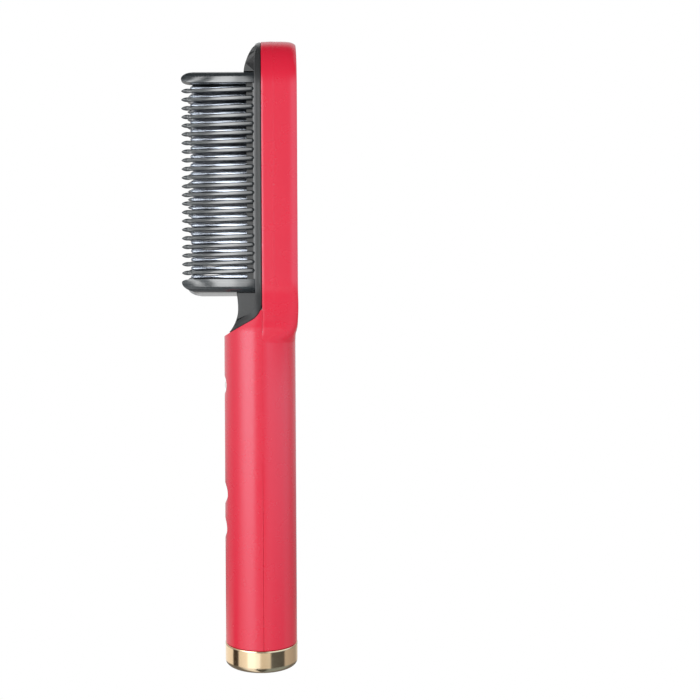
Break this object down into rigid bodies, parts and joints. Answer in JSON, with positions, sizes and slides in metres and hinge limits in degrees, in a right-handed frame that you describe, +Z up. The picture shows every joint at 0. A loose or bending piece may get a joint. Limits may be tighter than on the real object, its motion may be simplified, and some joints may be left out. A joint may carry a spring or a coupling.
{
  "type": "hair straightening brush",
  "caption": "Upright electric hair straightening brush: pill-shaped heated comb head on an oval handle, with keys on the handle's front and a swivelling cord inlet in its gold base.",
  "frame": {"origin": "on the handle's axis, in the plane of the base's underside", "axes": "+Z up the handle to the head's top, -Y is the side the teeth point to, +Y the back panel, +X to one side"},
  "size_m": [0.053, 0.052, 0.289],
  "materials": {
    "red_shell": "satin moulded ABS, coral red",
    "gold_plating": "pale champagne-gold plated plastic",
    "frame_plastic": "heat-resistant dark grey plastic",
    "comb_plastic": "glossy dark grey heat-resistant plastic",
    "seal_rubber": "black silicone rubber",
    "coated_aluminium": "die-cast aluminium with a blue-grey ceramic coat",
    "bare_aluminium": "plain sheet aluminium",
    "screw_steel": "zinc-plated steel screws",
    "heater_ceramic": "PTC ceramic stones, unglazed",
    "polyimide_film": "amber polyimide film",
    "mica_sheet": "mica laminate",
    "inner_plastic": "black glass-filled nylon",
    "white_plastic": "white moulded plastic",
    "contact_brass": "bare brass",
    "board_laminate": "green solder mask on glass-epoxy laminate",
    "chip_epoxy": "black moulding compound",
    "relay_case": "blue moulded relay case",
    "capacitor_sleeve": "dark shrink sleeve",
    "fuse_metal": "plated metal can",
    "sensor_glass": "blue epoxy bead",
    "lead_silicone": "red silicone-insulated wire",
    "supply_silicone": "brown silicone-insulated wire",
    "lens_plastic": "milky translucent polycarbonate",
    "led_package": "LED packages"
  },
  "bodies": {
    "brush": {"front_housing": "red_shell", "rear_housing": "red_shell", "back_panel": "red_shell", "back_bezel": "gold_plating", "end_cap": "gold_plating", "cap_screws": "screw_steel", "thrust_washer": "white_plastic", "contact_block": "inner_plastic", "brush_contacts": "contact_brass", "comb_frame": "frame_plastic", "frame_seal": "seal_rubber", "frame_screws": "screw_steel", "guard_comb": "comb_plastic", "heating_comb": "coated_aluminium", "ptc_heaters": "heater_ceramic", "insulation_sheet": "polyimide_film", "heater_clamp": "bare_aluminium", "clamp_screws": "screw_steel", "heat_shield": "mica_sheet", "thermal_fuse": "fuse_metal", "temperature_sensor": "sensor_glass", "heater_leads": "lead_silicone", "main_board": "board_laminate", "board_screws": "screw_steel", "microcontroller": "chip_epoxy", "power_relay": "relay_case", "supply_capacitor": "capacitor_sleeve", "tact_switches": "inner_plastic", "indicator_lens": "lens_plastic", "indicator_leds": "led_package", "supply_leads": "supply_silicone"},
    "power_key": {"power_button": "white_plastic", "power_plunger": "inner_plastic"},
    "plus_key": {"plus_button": "red_shell", "plus_plunger": "inner_plastic"},
    "minus_key": {"minus_button": "red_shell", "minus_plunger": "inner_plastic"},
    "cord_inlet": {"cord_swivel": "inner_plastic", "slip_rings": "contact_brass"}
  },
  "joints": [
    {"name": "power_press", "type": "slide", "parent": "brush", "child": "power_key", "axis": [0, 1, 0], "range_m": [0, 0.0005], "stiffness_N_per_m": 2400},
    {"name": "plus_press", "type": "slide", "parent": "brush", "child": "plus_key", "axis": [0, 1, 0], "range_m": [0, 0.0005], "stiffness_N_per_m": 2400},
    {"name": "minus_press", "type": "slide", "parent": "brush", "child": "minus_key", "axis": [0, 1, 0], "range_m": [0, 0.0005], "stiffness_N_per_m": 2400},
    {"name": "cord_swivel_turn", "type": "hinge", "parent": "brush", "child": "cord_inlet", "pos_m": [0, 0, 0.003], "axis": [0, 0, 1], "continuous": true}
  ]
}
